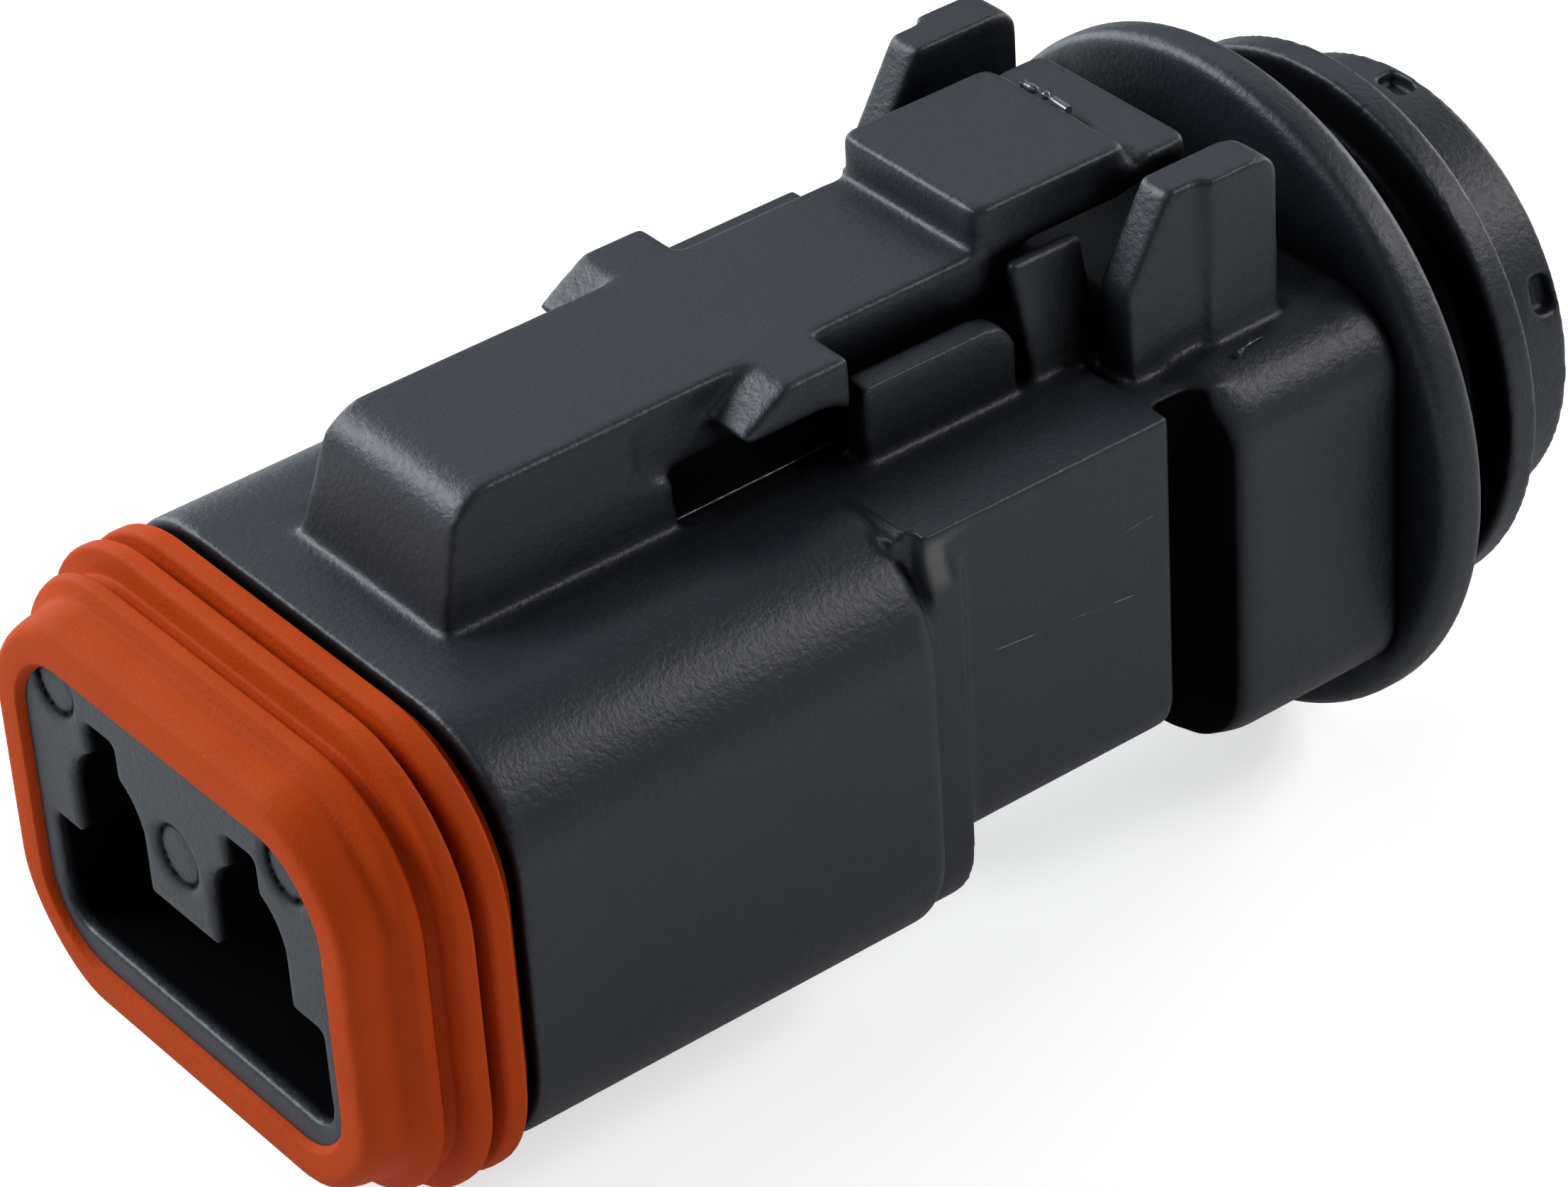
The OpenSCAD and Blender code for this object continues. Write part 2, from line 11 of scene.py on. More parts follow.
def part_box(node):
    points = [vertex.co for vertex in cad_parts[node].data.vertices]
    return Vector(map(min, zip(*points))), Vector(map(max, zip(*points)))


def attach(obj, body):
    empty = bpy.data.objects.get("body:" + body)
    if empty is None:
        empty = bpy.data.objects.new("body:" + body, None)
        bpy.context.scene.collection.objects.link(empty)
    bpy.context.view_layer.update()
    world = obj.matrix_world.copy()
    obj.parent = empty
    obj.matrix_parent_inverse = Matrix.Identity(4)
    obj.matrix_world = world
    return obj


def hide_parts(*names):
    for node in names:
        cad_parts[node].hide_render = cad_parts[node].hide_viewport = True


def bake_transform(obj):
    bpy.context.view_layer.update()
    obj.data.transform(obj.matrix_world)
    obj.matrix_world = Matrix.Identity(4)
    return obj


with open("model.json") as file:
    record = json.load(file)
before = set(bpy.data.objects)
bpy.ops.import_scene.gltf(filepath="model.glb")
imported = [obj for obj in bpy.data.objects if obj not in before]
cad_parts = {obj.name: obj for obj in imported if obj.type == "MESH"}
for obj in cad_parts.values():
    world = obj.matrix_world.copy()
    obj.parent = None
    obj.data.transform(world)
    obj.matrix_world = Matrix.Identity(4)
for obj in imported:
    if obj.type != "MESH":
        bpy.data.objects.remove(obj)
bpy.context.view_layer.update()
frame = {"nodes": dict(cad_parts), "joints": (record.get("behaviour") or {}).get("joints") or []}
scene = bpy.context.scene

# Housing and latch. The housing is one moulding of black glass-filled nylon, and the latch lever is
# moulded with it, joined at its root. Tool-made steel leaves a small radius on every edge and a
# small fillet in every corner.
MM = 0.001
MOULD_GRAIN = 0.1          # size of the grid, in mm, that rounds the mouldings' edges
EDGE_ROUNDS = 22           # smoothing passes, which set the edge radius
PLAIN_EDGE = 0.6           # share of the smoothing that most edges get; the pad's edges get all
CRISP_EDGE = 0.18          # share that the nose face and the collar's front get
MOULDING_KEPT = 0.24       # share of the faces that thinning keeps
MARKS = ((-4.95, 3.1), (4.95, 3.1), (0.0, 0.7))    # ejector marks' x, and z over the contacts
MARK_R = 0.8
MARK_RIM_W = 0.17          # from the middle of a mark's rim to its edge
MARK_RIM_DEPTH = 0.2
BEAM_W = 5.3
BEAM_T = 2.0
FOOT_SIDE = 3.45           # the cut between housing and latch, round the root's foot
FOOT_FRONT_Y = 5.55        # its front behind the nose face
FOOT_BACK = 1.0            # its back behind the hinge
FOOT_FLAT = 0.5            # faces no further than this from the body's top count as the top
COLLAR_Y = 17.15           # distance of the collar's front behind the nose face
COLLAR_TOP_HALF_W = 6.9    # half width of the top in front of the collar, where no groove shows
PAD_FRONT_Y = 22.5         # what stands high behind this is the pad
PAD_LINE_Y = 27.95         # distance of the line between pad and tab behind the nose face
PAD_LINE_W = 0.22
PAD_LINE_DEPTH = 0.3
PAD_LINE_HALF_W = 3.2      # it runs inside this x
PAD_LINE_Z = 3.9           # and higher than this over the body's top
WAIST_DEPTH = 0.6          # extra depth of the waist in front of the rear section
WAIST_Y = (24.95, 25.3, 26.35, 26.75, 27.5)        # places behind the nose face
WAIST_SHARE = (0, 1, 0.9, 0.25, 0)                 # share of the extra depth at those places
WAIST_SIDE = 6.45          # the sides are deepened outside this x
WAIST_UNDER = 3.9          # and the underside lower than this under the contacts
WAIST_UNDER_SHARE = 0.4    # share of the extra depth that the underside gets

nodes = frame["nodes"]
hinge = Vector(frame["joints"][0]["pos_m"]) / MM
contact_z = sum(corner[2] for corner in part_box("end_cap")) / 2 / MM
body_top = contact_z + 5.6
nose_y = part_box("plug_housing")[0][1] / MM


def joined_copy(name, sources, blocks=()):
    """A new object in millimetres that holds merged copies of the sources and of some blocks."""
    mesh = bpy.data.meshes.new(name)
    bm = bmesh.new()
    for source in sources:
        bm.from_mesh(source.data)
    bmesh.ops.scale(bm, vec=(1 / MM,) * 3, verts=bm.verts)
    bmesh.ops.remove_doubles(bm, verts=bm.verts, dist=0.0005)
    for low, high in blocks:
        place = Matrix.Translation((low + high) / 2) @ Matrix.Diagonal((*(high - low), 1))
        bmesh.ops.create_cube(bm, size=1, matrix=place)
    bm.to_mesh(mesh)
    bm.free()
    obj = bpy.data.objects.new(name, mesh)
    scene.collection.objects.link(obj)
    return obj


def applied(obj):
    """Turns the object's modifiers into plain mesh."""
    tree = bpy.context.evaluated_depsgraph_get()
    result = bpy.data.meshes.new_from_object(obj.evaluated_get(tree))
    obj.modifiers.clear()
    old = obj.data
    obj.data = result
    bpy.data.meshes.remove(old)
    return obj


def gridded(obj, grain):
    """Closes a solid into one skin of even faces."""
    remesh = obj.modifiers.new("grid", "REMESH")
    remesh.mode = "VOXEL"
    remesh.voxel_size = grain
    return applied(obj)


def softened(obj, rounds, share, group=""):
    """Rounds the edges and fills the corners of a gridded solid, then thins its mesh."""
    smooth = obj.modifiers.new("rounds", "SMOOTH")
    smooth.factor = 0.5
    smooth.iterations = rounds
    smooth.vertex_group = group
    thin = obj.modifiers.new("thin", "DECIMATE")
    thin.ratio = share
    return applied(obj)


def places(mesh):
    """The places of the mesh's vertices."""
    place = np.empty(len(mesh.vertices) * 3, "f")
    mesh.vertices.foreach_get("co", place)
    return place.reshape(-1, 3)


def mark_lines(place):
    """1 on the ejector marks' rims in the nose face, 0 away from them."""
    rim = np.zeros(len(place))
    for x, z in MARKS:
        reach = np.hypot(place[:, 0] - x, place[:, 2] - contact_z - z)
        rim = np.maximum(rim, np.clip(1 - np.abs(reach - MARK_R) / MARK_RIM_W, 0, 1))
    return rim * (place[:, 1] < nose_y + 0.35)


def carve(mesh):
    """Deepens the waist, the line between pad and tab, and the ejector marks' rims."""
    place = places(mesh)
    place[:, 1] += MARK_RIM_DEPTH * mark_lines(place)
    x, y, z = place.T
    back = y - nose_y
    depth = WAIST_DEPTH * np.interp(back, WAIST_Y, WAIST_SHARE)
    side = np.clip((np.abs(x) - WAIST_SIDE) / 0.3, 0, 1)
    below = np.clip((contact_z - WAIST_UNDER - z) / 0.5, 0, 1)
    place[:, 0] -= np.sign(x) * depth * side
    place[:, 2] += depth * below * WAIST_UNDER_SHARE
    line = np.clip(1 - np.abs(back - PAD_LINE_Y - np.sin(x * 3) * 0.04) / PAD_LINE_W, 0, 1)
    place[:, 2] -= PAD_LINE_DEPTH * line * (z > body_top + PAD_LINE_Z) * (np.abs(x) < PAD_LINE_HALF_W)
    mesh.vertices.foreach_set("co", place.ravel())
    mesh.update()


def in_metres(name, mesh):
    """A new object for a finished mesh, which was made in millimetres."""
    mesh.transform(Matrix.Scale(MM, 4))
    mesh.polygons.foreach_set("use_smooth", [True] * len(mesh.polygons))
    obj = bpy.data.objects.new(name, mesh)
    scene.collection.objects.link(obj)
    return obj


# the lever's round end and its seat are filled, so that root and lever become one
hinge_filler = (Vector((-BEAM_W / 2, hinge.y - 1.4, hinge.z - BEAM_T / 2 - 0.1)),
                Vector((BEAM_W / 2, hinge.y + 0.1, hinge.z + BEAM_T / 2)))
# the groove in front of the collar runs out before it reaches the top
groove_filler = (Vector((-COLLAR_TOP_HALF_W, nose_y + COLLAR_Y - 0.22, body_top - 1.2)),
                 Vector((COLLAR_TOP_HALF_W, nose_y + COLLAR_Y + 0.2, body_top)))
moulding = joined_copy("moulding", [nodes["plug_housing"], nodes["latch_lever"]],
                       [hinge_filler, groove_filler])
gridded(moulding, MOULD_GRAIN)
carve(moulding.data)
gridded(moulding, MOULD_GRAIN)
softening = moulding.vertex_groups.new(name="softening")
place = places(moulding.data)
back = place[:, 1] - nose_y
on_face = (back < 0.25) & (np.abs(place[:, 0]) < 5.9) & (place[:, 2] < contact_z + 3.9)
on_collar = (np.abs(back - COLLAR_Y - 0.25) < 1.6) & (np.abs(place[:, 0]) > 4.4)
crisp = on_face | on_collar
full = (back > PAD_FRONT_Y) & (place[:, 2] > body_top + 2.2)
softening.add(np.flatnonzero(crisp).tolist(), CRISP_EDGE, "REPLACE")
softening.add(np.flatnonzero(full).tolist(), 1.0, "REPLACE")
softening.add(np.flatnonzero(~(crisp | full)).tolist(), PLAIN_EDGE, "REPLACE")
softened(moulding, EDGE_ROUNDS, MOULDING_KEPT, "softening")


def split_latch(obj):
    """Parts the moulding round the latch's foot and returns the latch as a new mesh."""
    foot_front = nose_y + FOOT_FRONT_Y
    foot_back = hinge.y + FOOT_BACK
    cuts = [((FOOT_SIDE, 0, 0), (1, 0, 0)), ((-FOOT_SIDE, 0, 0), (1, 0, 0)),
            ((0, foot_front, 0), (0, 1, 0)), ((0, foot_back, 0), (0, 1, 0))]
    bm = bmesh.new()
    bm.from_mesh(obj.data)

    def on_top(face, margin=0.0):
        c = face.calc_center_median()
        return (abs(c.z - body_top) < FOOT_FLAT and abs(c.x) < FOOT_SIDE + margin
                and foot_front - margin < c.y < foot_back + margin)

    for point, normal in cuts:
        near = [f for f in bm.faces if on_top(f, 0.6)]
        geom = near + list({e for f in near for e in f.edges})
        geom += list({v for f in near for v in f.verts})
        bmesh.ops.bisect_plane(bm, geom=geom, plane_co=point, plane_no=normal, dist=1e-5)
    start = max((f for f in bm.faces if abs(f.calc_center_median().x) < 1
                 and foot_front < f.calc_center_median().y < foot_back),
                key=lambda f: f.calc_center_median().z)
    taken = {start}
    queue = [start]
    while queue:
        for edge in queue.pop().edges:
            for other in edge.link_faces:
                c = other.calc_center_median()
                outside = not on_top(other) and c.z < body_top + 0.4
                if other not in taken and not outside:
                    taken.add(other)
                    queue.append(other)
    bm.faces.index_update()
    chosen = {f.index for f in taken}
    latch_bm = bm.copy()
    latch_bm.faces.ensure_lookup_table()
    bmesh.ops.delete(latch_bm, geom=[f for f in latch_bm.faces if f.index not in chosen], context="FACES")
    latch_mesh = bpy.data.meshes.new("latch")
    latch_bm.to_mesh(latch_mesh)
    latch_bm.free()
    bmesh.ops.delete(bm, geom=list(taken), context="FACES")
    bm.to_mesh(obj.data)
    bm.free()
    return latch_mesh


latch = in_metres("latch", split_latch(moulding))
housing = in_metres("housing", moulding.data)
bpy.data.objects.remove(moulding)


# recesses, corners and the ground beside a wall get little light: feelers spread over each vertex
# count the walls of the solids near it, and that count is painted on as shade, a dull black skin
SHELTER_REACH = 5.0 * MM   # how far away a wall still shelters a surface
SHELTER_START = 0.22 * MM  # where a feeler starts over the surface
SHELTER_ROUNDS = 5         # passes that even out the result
FEELER_COUNT = 11
GOLDEN_ANGLE = 2.39996     # spreads the feelers evenly
CAVITY_HALF_W = 6.15       # the nose's cavity is painted black as shade inside this half width and half height
CAVITY_HALF_H = 4.2
CAVITY_END = 16
NOSE_DROP = 0.7            # the nose's middle under the contacts
PAINTED_BLACK = 0.75              # blackness of the painted shade in the waist and on the marks' rims
WAIST_PAINTED_Y = (25.0, 25.3, 26.7, 27.5)
WAIST_PAINTED_Z = 5.5       # the waist's painted shade ends this high over the contacts
PAINTED_HIGHLIGHT_X = 7.0             # the flats with the painted highlight are outside this x
PAINTED_HIGHLIGHT_Y = (-0.05, 0.12, 0.45, 0.65)               # behind the collar's front
PAINTED_HIGHLIGHT_Z = (-1.6, -1.2, -0.3, -0.1)                # over the body's top

wall_verts = []
wall_faces = []
for node in nodes.values():
    first = len(wall_verts)
    wall_verts.extend(v.co.copy() for v in node.data.vertices)
    wall_faces.extend([first + i for i in p.vertices] for p in node.data.polygons)
walls = BVHTree.FromPolygons(wall_verts, wall_faces)
FEELERS = []
for i in range(FEELER_COUNT):
    height = math.sqrt(1 - (i + 0.5) / FEELER_COUNT)
    around = i * GOLDEN_ANGLE
    FEELERS.append((math.cos(around) * math.sqrt(1 - height ** 2),
                    math.sin(around) * math.sqrt(1 - height ** 2), height))


def painted_black_places(place):
    """Painted shade: how black the nose's cavity, the ejector marks' rims and the waist are painted, for
    the shade that falls in them.
    """
    back = place[:, 1] - nose_y
    in_nose = ((np.abs(place[:, 0]) < CAVITY_HALF_W) & (back < CAVITY_END)
               & (np.abs(place[:, 2] - contact_z + NOSE_DROP) < CAVITY_HALF_H))
    # painted shade in the nose's cavity, on the marks' rims and in the waist
    dark = in_nose * np.clip((back - 0.2) / 0.5, 0, 1) + PAINTED_BLACK * mark_lines(place)
    waist = np.interp(back, WAIST_PAINTED_Y, (0, PAINTED_BLACK, PAINTED_BLACK, 0))
    return dark + waist * np.clip((contact_z + WAIST_PAINTED_Z - place[:, 2]) / 1.6, 0, 1)


def painted_highlight_places(place):
    """Painted highlight: 1 on the flats on the collar's upper corners, which are painted bright, 0 away
    from them.
    """
    behind = place[:, 1] - nose_y - COLLAR_Y
    return ((np.abs(place[:, 0]) > PAINTED_HIGHLIGHT_X)
            * np.interp(behind, PAINTED_HIGHLIGHT_Y, (0, 1, 1, 0))
            * np.interp(place[:, 2] - body_top, PAINTED_HIGHLIGHT_Z, (0, 1, 1, 0)))


def add_painted_light(mesh):
    """Writes into the mesh the painted shade, from how sheltered the surface is, and the painted highlight
    at each vertex.
    """
    place = places(mesh) / MM
    found = np.zeros(len(mesh.vertices), "f")
    for i, vertex in enumerate(mesh.vertices):
        up = vertex.normal
        side = up.orthogonal().normalized()
        over = up.cross(side)
        start = vertex.co + up * SHELTER_START
        hits = 0
        for a, b, c in FEELERS:
            wall = walls.ray_cast(start, side * a + over * b + up * c, SHELTER_REACH)[0]
            hits += wall is not None
        found[i] = hits / len(FEELERS)
    ends = np.empty(len(mesh.edges) * 2, "i")
    mesh.edges.foreach_get("vertices", ends)
    ends = ends.reshape(-1, 2)
    for _ in range(SHELTER_ROUNDS):
        total = found.copy()
        share = np.ones(len(found), "f")
        for a, b in ((0, 1), (1, 0)):
            np.add.at(total, ends[:, a], found[ends[:, b]])
            np.add.at(share, ends[:, a], 1)
        found = total / share
    found = np.minimum(found + painted_black_places(place), 1)
    # painted shade: the feelers' count plus the painted black places, stored for the material
    mesh.attributes.new("painted_shade", "FLOAT", "POINT").data.foreach_set("value", found)
    # painted highlight on the collar's upper flats
    painted_highlight = painted_highlight_places(place).astype("f")
    mesh.attributes.new("painted_highlight", "FLOAT", "POINT").data.foreach_set("value", painted_highlight)


for obj in (housing, latch):
    add_painted_light(obj.data)


class Level:
    """A socket of a finish that takes part in sums and products."""

    def __init__(self, finish, socket):
        self.finish = finish
        self.socket = socket

    def worked_out(self, operation, first, second):
        return self.finish.node("ShaderNodeMath", {"operation": operation}, {0: first, 1: second})

    def __add__(self, other):
        return self.worked_out("ADD", self, other)

    def __mul__(self, other):
        return self.worked_out("MULTIPLY", self, other)

    __radd__ = __add__


class Finish:
    """A material, and the nodes that give its surface."""

    def __init__(self, name):
        self.material = bpy.data.materials.new(name)
        self.material.use_nodes = True
        self.tree = self.material.node_tree
        self.tree.nodes.clear()

    def node(self, kind, settings=None, sockets=None, output=0):
        made = self.tree.nodes.new(kind)
        for name, value in (settings or {}).items():
            if name == "stops":
                for stop, (place, grey) in zip(made.color_ramp.elements, value):
                    stop.position = place
                    stop.color = (grey, grey, grey, 1)
            else:
                setattr(made, name, value)
        for name, value in (sockets or {}).items():
            if isinstance(value, Level):
                self.tree.links.new(value.socket, made.inputs[name])
            else:
                made.inputs[name].default_value = value
        return Level(self, made.outputs[output]) if made.outputs else None

    def speckle(self, size_mm, detail=2.0, rough=0.5):
        """Noise from 0 to 1 with grains of the given size."""
        place = self.node("ShaderNodeTexCoord", output="Object")
        return self.node("ShaderNodeTexNoise", None,
                         {"Vector": place, "Scale": 1 / (size_mm * MM), "Detail": detail,
                          "Roughness": rough}, "Fac")

    def blend(self, share, first, second):
        return self.node("ShaderNodeMix", {"data_type": "RGBA"},
                         {0: share, 6: (*first, 1) if isinstance(first, tuple) else first,
                          7: (*second, 1) if isinstance(second, tuple) else second}, 2)

    def principled(self, **sockets):
        return self.node("ShaderNodeBsdfPrincipled", None,
                         {name.replace("_", " "): value for name, value in sockets.items()})

    def surface(self, shader):
        self.node("ShaderNodeOutputMaterial", None, {"Surface": shader})
        return self.material

    def with_painted_shade(self, skin):
        """The skin with painted shade: dull black where recesses and corners shelter the surface from
        light.
        """
        painted_shade = self.node("ShaderNodeAttribute", {"attribute_name": "painted_shade"}, None, "Fac")
        share = self.node("ShaderNodeMapRange", {"interpolation_type": "SMOOTHSTEP"},
                          {"Value": painted_shade, "From Min": 0.12, "From Max": 0.8})
        # painted shade: a dull black skin that takes over where the surface is sheltered
        painted_shade_skin = self.principled(Base_Color=(0.0015, 0.0015, 0.002, 1), Roughness=1.0,
                               Specular_IOR_Level=0.05)
        return self.surface(self.node("ShaderNodeMixShader", None, {0: share, 1: skin, 2: painted_shade_skin}))


def nylon(name, base, fleck):
    """Black glass-filled nylon with a fine spark-eroded grain, a painted highlight on the collar's flats
    and painted shade in its recesses.
    """
    f = Finish(name)
    cloud = f.speckle(2.5, 3)
    grain = f.speckle(0.16, 2, 0.6)
    fibre = f.node("ShaderNodeValToRGB", {"stops": [(0.56, 0), (0.72, 1)]}, {"Fac": f.speckle(0.11, 1)})
    # painted highlight: the collar's flats are painted a lighter grey
    painted_highlight = f.node("ShaderNodeAttribute", {"attribute_name": "painted_highlight"}, None, "Fac")
    colour = f.blend(painted_highlight, f.blend(fibre * 0.35 + cloud * 0.3, base, fleck), (0.11, 0.11, 0.11))
    bump = f.node("ShaderNodeBump", None,
                  {"Strength": 0.5, "Distance": 0.00004, "Height": grain + cloud * 0.5})
    skin = f.principled(Base_Color=colour, Roughness=0.36 + grain * 0.2, Normal=bump)
    return f.with_painted_shade(skin)


black_nylon = nylon("black_nylon", (0.0115, 0.0145, 0.0215), (0.027, 0.033, 0.045))
for piece, node, slot in ((housing, "plug_housing", "housing_plastic"),
                          (latch, "latch_lever", "lever_plastic")):
    piece.data.materials.clear()
    piece.data.materials.append(black_nylon)
    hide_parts(node)
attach(housing, "plug")
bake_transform(latch)


# Interface seal. A ring of orange silicone stretched over the nose against the housing's shoulder.
# A broad soft lip covers the nose's rim, and three ribs behind it seal against the receptacle.
NOSE_W = 13.1
NOSE_H = 9.2
SEAL_CORNER_R = 2.25
SEAL_CORNER_STEPS = 14
LIP_CORNER_PULL = 0.13     # how much rounder the lip's corners are than the ribs'
LIP_CORNER_X = (4.6, 7.4)  # a corner starts and is full this far from the nose's middle
LIP_CORNER_Z = (2.6, 5.4)
LIP_END_Y = (1.5, 0.9)     # behind the nose face, where the lip ends and where it is full
# y behind the nose face, height above the nose, and radius of each corner of the section
SEAL_SECTION = [
    (-0.2, 0.0, 0.1), (-0.2, 0.98, 0.42), (0.35, 1.15, 0.5), (1.0, 1.22, 0.3), (1.25, 1.62, 0.15),
    (1.58, 1.66, 0.15), (1.8, 1.35, 0.1), (2.1, 1.35, 0.1), (2.22, 2.06, 0.17), (2.74, 2.06, 0.17),
    (2.84, 1.3, 0.05), (2.9, 0.9, 0.05), (3.02, 0.9, 0.05), (3.08, 1.3, 0.05), (3.14, 2.06, 0.17),
    (3.74, 2.06, 0.17), (3.9, 1.4, 0.1), (4.22, 1.35, 0.05), (4.22, -0.15, 0), (0.0, -0.15, 0)]


def filleted(corners, steps=5):
    """The outline through the corners, each rounded with its own radius."""
    outline = []
    for i, (u, v, radius) in enumerate(corners):
        here = Vector((u, v))
        if not radius:
            outline.append(here)
            continue
        before = (Vector(corners[i - 1][:2]) - here).normalized()
        after = (Vector(corners[(i + 1) % len(corners)][:2]) - here).normalized()
        half = before.angle(after) / 2
        centre = here + (before + after).normalized() * (radius / math.sin(half))
        start = here + before * (radius / math.tan(half)) - centre
        turn = start.angle_signed(here + after * (radius / math.tan(half)) - centre)
        for step in range(steps + 1):
            outline.append(centre + Matrix.Rotation(-turn * step / steps, 2) @ start)
    return outline


def section_curve(name, outline):
    """A closed flat curve object, the section that a sweep carries along its path."""
    data = bpy.data.curves.new(name, "CURVE")
    data.dimensions = "2D"
    spline = data.splines.new("POLY")
    spline.points.add(len(outline) - 1)
    for point, (u, v) in zip(spline.points, outline):
        point.co = (v, -u, 0, 1)
    spline.use_cyclic_u = True
    obj = bpy.data.objects.new(name, data)
    scene.collection.objects.link(obj)
    return obj


class Shape:
    """A Geometry Nodes tree and its named inputs."""

    def __init__(self, name, inputs):
        self.tree = bpy.data.node_groups.new(name, "GeometryNodeTree")
        self.tree.interface.new_socket("Geometry", in_out="INPUT", socket_type="NodeSocketGeometry")
        self.tree.interface.new_socket("Geometry", in_out="OUTPUT", socket_type="NodeSocketGeometry")
        for label, kind in inputs:
            self.tree.interface.new_socket(label, in_out="INPUT", socket_type="NodeSocket" + kind)
        self.given = self.tree.nodes.new("NodeGroupInput").outputs

    def node(self, kind, settings=None, sockets=None, output=0):
        made = self.tree.nodes.new(kind)
        for name, value in (settings or {}).items():
            setattr(made, name, value)
        for name, value in (sockets or {}).items():
            if isinstance(value, bpy.types.NodeSocket):
                self.tree.links.new(value, made.inputs[name])
            else:
                made.inputs[name].default_value = value
        return made.outputs[output]

    def math(self, operation, first, second=0.0):
        return self.node("ShaderNodeMath", {"operation": operation}, {0: first, 1: second})

    def ramp(self, value, low, high):
        return self.node("ShaderNodeMapRange", {"interpolation_type": "SMOOTHSTEP"},
                         {"Value": value, "From Min": low, "From Max": high})

    def finish(self, geometry, material):
        real = self.node("GeometryNodeRealizeInstances", None, {"Geometry": geometry})
        painted = self.node("GeometryNodeSetMaterial", None, {"Geometry": real, "Material": material})
        out = self.tree.nodes.new("NodeGroupOutput")
        self.tree.links.new(painted, out.inputs["Geometry"])

    def mesh(self, name, values):
        """The plain mesh that the tree makes with these values for its inputs."""
        carrier = bpy.data.objects.new(name, bpy.data.meshes.new(name))
        scene.collection.objects.link(carrier)
        modifier = carrier.modifiers.new(name, "NODES")
        modifier.node_group = self.tree
        for item in self.tree.interface.items_tree:
            if item.in_out == "INPUT" and item.name in values:
                modifier[item.identifier] = values[item.name]
        applied(carrier)
        mesh = carrier.data
        bpy.data.objects.remove(carrier)
        return mesh


def silicone(name, base, deep):
    """Matte orange silicone with a faint bloom."""
    f = Finish(name)
    cloud = f.speckle(1.6, 3)
    grain = f.speckle(0.12, 2, 0.6)
    dust = f.node("ShaderNodeValToRGB", {"stops": [(0.68, 0), (0.8, 1)]}, {"Fac": f.speckle(0.3, 2)})
    colour = f.blend(cloud * 0.8, base, deep)
    bloom = f.blend(dust * 0.05, colour, (0.62, 0.16, 0.04))
    bump = f.node("ShaderNodeBump", None,
                  {"Strength": 0.4, "Distance": 0.00005, "Height": grain + cloud * 0.6})
    return f.surface(f.principled(Base_Color=bloom, Roughness=0.55 + grain * 0.16,
                                  Specular_IOR_Level=0.07, Normal=bump))


orange_silicone = silicone("orange_silicone", (0.53, 0.063, 0.006), (0.43, 0.046, 0.005))

sweep = Shape("seal_sweep", [("Width", "Float"), ("Height", "Float"), ("Corner radius", "Float"),
                             ("Corner steps", "Int"), ("Section", "Object"), ("Corner pull", "Float")])
path = sweep.node("GeometryNodeCurvePrimitiveQuadrilateral", None,
                  {"Width": sweep.given["Width"], "Height": sweep.given["Height"]})
path = sweep.node("GeometryNodeFilletCurve", {"mode": "POLY"},
                  {"Curve": path, "Radius": sweep.given["Corner radius"],
                   "Count": sweep.given["Corner steps"]})
profile = sweep.node("GeometryNodeObjectInfo", None, {"Object": sweep.given["Section"]}, "Geometry")
ring = sweep.node("GeometryNodeCurveToMesh", None, {"Curve": path, "Profile Curve": profile})
spot = sweep.node("ShaderNodeSeparateXYZ", None, {0: sweep.node("GeometryNodeInputPosition")}).node.outputs
in_corner = sweep.math("MULTIPLY",
                       sweep.ramp(sweep.math("ABSOLUTE", spot["X"]), *LIP_CORNER_X),
                       sweep.ramp(sweep.math("ABSOLUTE", spot["Y"]), *LIP_CORNER_Z))
on_lip = sweep.ramp(spot["Z"], *LIP_END_Y)
pull = sweep.math("MULTIPLY", sweep.math("MULTIPLY", in_corner, on_lip), sweep.given["Corner pull"])
pull = sweep.math("MULTIPLY", pull, -1.0)
inward = sweep.node("ShaderNodeCombineXYZ", None, {
    "X": sweep.math("MULTIPLY", sweep.math("SIGN", spot["X"]), pull),
    "Y": sweep.math("MULTIPLY", sweep.math("SIGN", spot["Y"]), pull)})
ring = sweep.node("GeometryNodeSetPosition", None, {"Geometry": ring, "Offset": inward})
sweep.finish(ring, orange_silicone)

section = section_curve("seal_section", filleted(SEAL_SECTION))
seal_mesh = sweep.mesh("seal", {"Width": NOSE_W, "Height": NOSE_H, "Corner radius": SEAL_CORNER_R,
                                "Corner steps": SEAL_CORNER_STEPS, "Section": section,
                                "Corner pull": LIP_CORNER_PULL})
bpy.data.objects.remove(section)
seal_mesh.transform(Matrix.Translation((0, nose_y, contact_z - NOSE_DROP))
                    @ Matrix.Rotation(-math.pi / 2, 4, "X"))
front_seal = in_metres("front_seal", seal_mesh)
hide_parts("interface_seal")
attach(front_seal, "plug")

# Wire seal. A grommet of the same silicone in the pocket at the back, with a hole for each wire.
WIRE_SEAL_GRAIN = 0.12
WIRE_SEAL_ROUNDS = 4
WIRE_SEAL_KEPT = 0.4
grommet_solid = joined_copy("grommet", [nodes["wire_seal"]])
gridded(grommet_solid, WIRE_SEAL_GRAIN)
softened(grommet_solid, WIRE_SEAL_ROUNDS, WIRE_SEAL_KEPT)
grommet = in_metres("wire_grommet", grommet_solid.data)
bpy.data.objects.remove(grommet_solid)
grommet.data.materials.clear()
grommet.data.materials.append(orange_silicone)
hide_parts("wire_seal")
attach(grommet, "plug")

